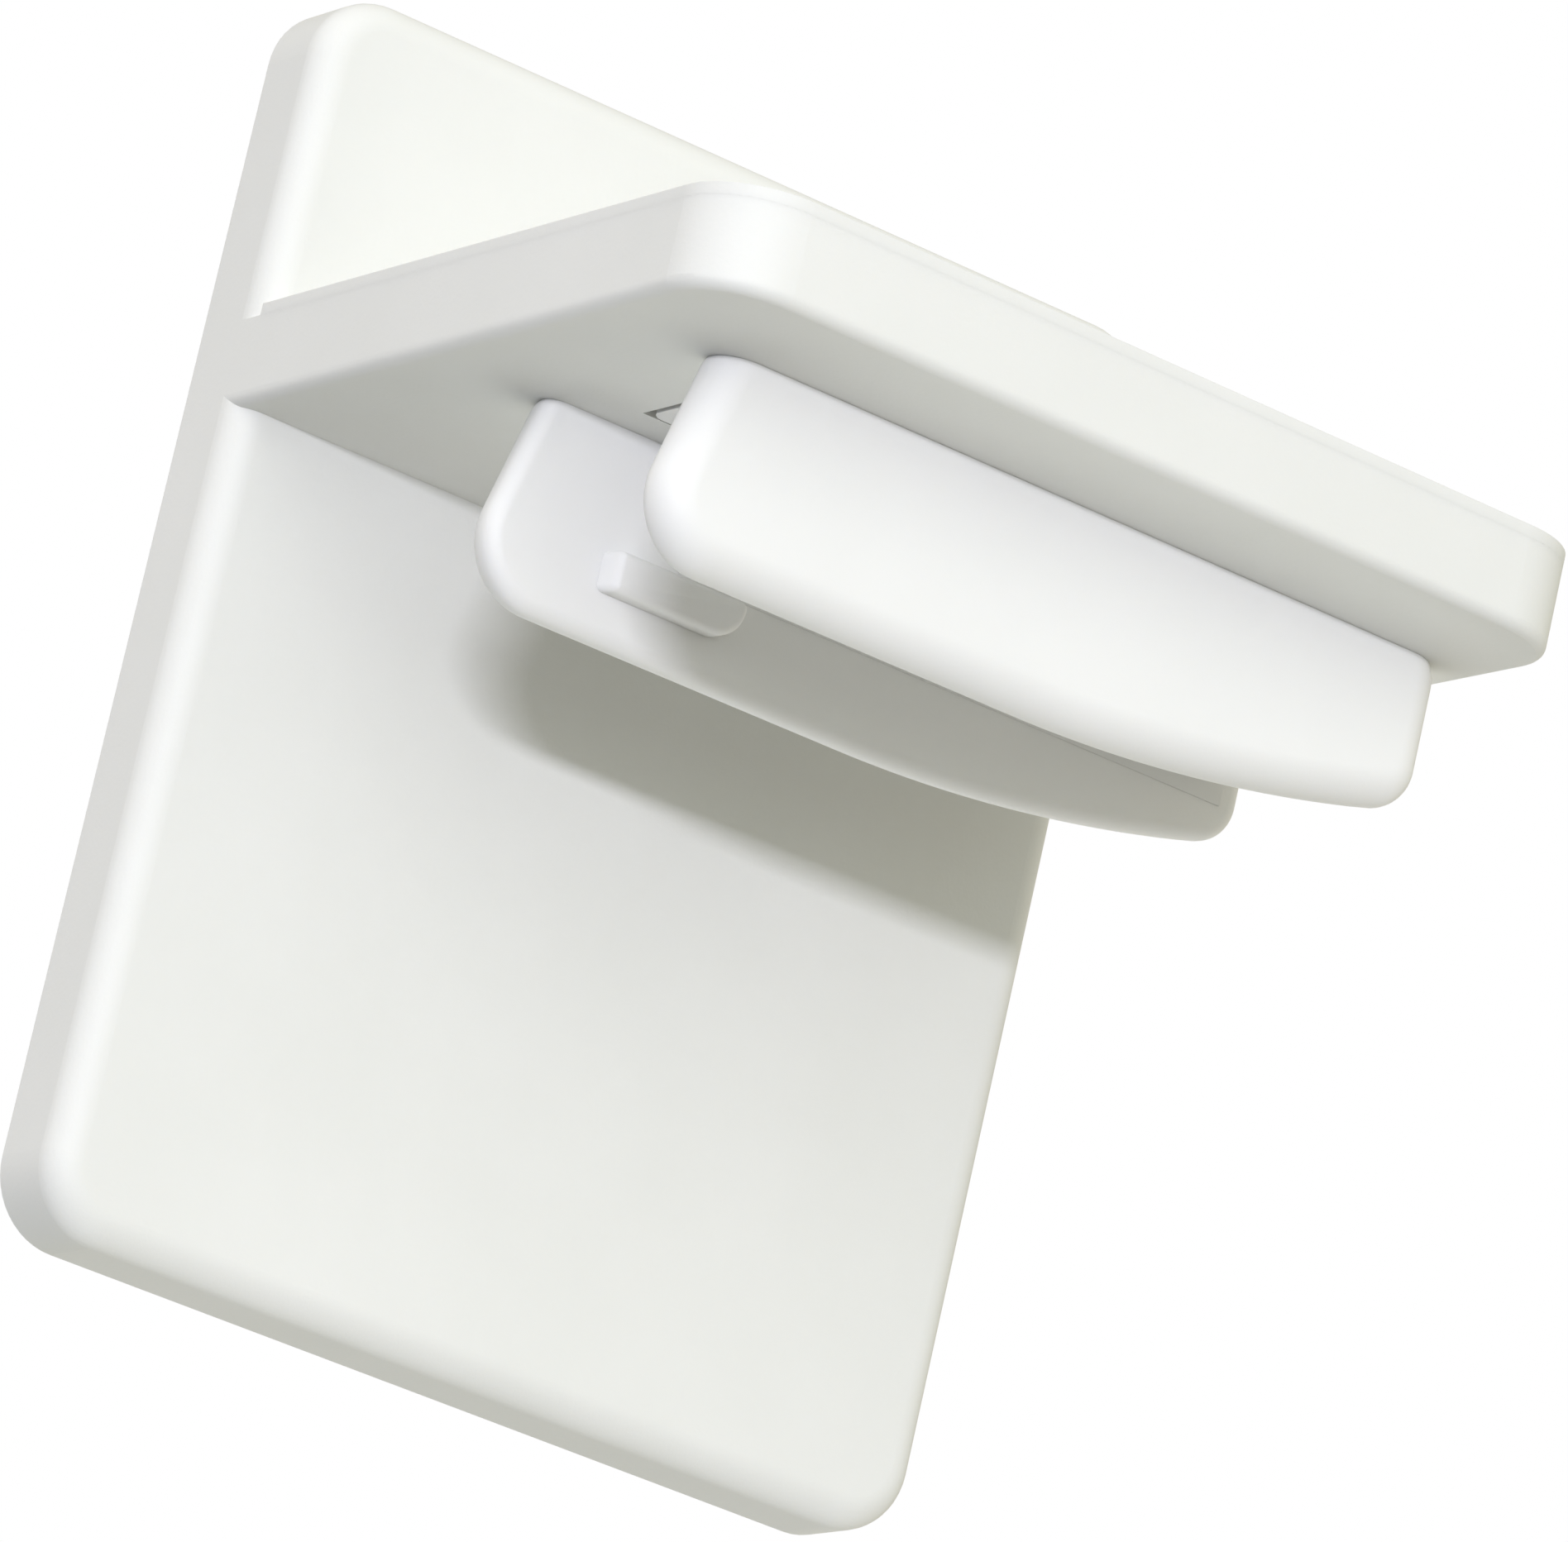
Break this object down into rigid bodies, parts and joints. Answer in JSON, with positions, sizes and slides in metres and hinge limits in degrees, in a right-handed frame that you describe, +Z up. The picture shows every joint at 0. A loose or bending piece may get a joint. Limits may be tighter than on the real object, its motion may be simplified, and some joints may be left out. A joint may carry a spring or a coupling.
{
  "type": "stair gate latch",
  "caption": "White wall-mounted stair gate latch: a flat plate with a projecting hollow shelf and a sprung sliding catch of parallel cheeks below it.",
  "frame": {"origin": "middle of the wall plate's back face, on the wall", "axes": "+Y into the wall, +X to the right along the wall as seen from the front, +Z up"},
  "size_m": [0.06, 0.0536, 0.0746],
  "materials": {
    "white_plastic": "satin, fine moulded grain",
    "white_plastic_shoe": "satin, smoother than the bracket",
    "grey_rubber": "matt",
    "screw_steel": "zinc plated",
    "spring_steel": "bright drawn wire"
  },
  "bodies": {
    "bracket": {"wall_plate": "white_plastic", "bracket_body": "white_plastic", "lock_screws": "screw_steel", "shelf_cover": "white_plastic", "cover_screws": "screw_steel", "return_spring_front": "spring_steel", "return_spring_rear": "spring_steel", "spring_guide_pins": "spring_steel", "stop_buffer": "grey_rubber"},
    "catch": {"catch_shoe": "white_plastic_shoe", "slide_carriage": "white_plastic_shoe", "carriage_screws": "screw_steel", "thumb_slide": "white_plastic_shoe", "thumb_pad": "grey_rubber", "thumb_screw": "screw_steel"}
  },
  "joints": [
    {"name": "catch_slide", "type": "slide", "parent": "bracket", "child": "catch", "axis": [1, 0, 0], "range_m": [0, 0.008], "stiffness_N_per_m": 120, "springref_m": -0.006, "deforming": ["return_spring_front", "return_spring_rear"]}
  ]
}
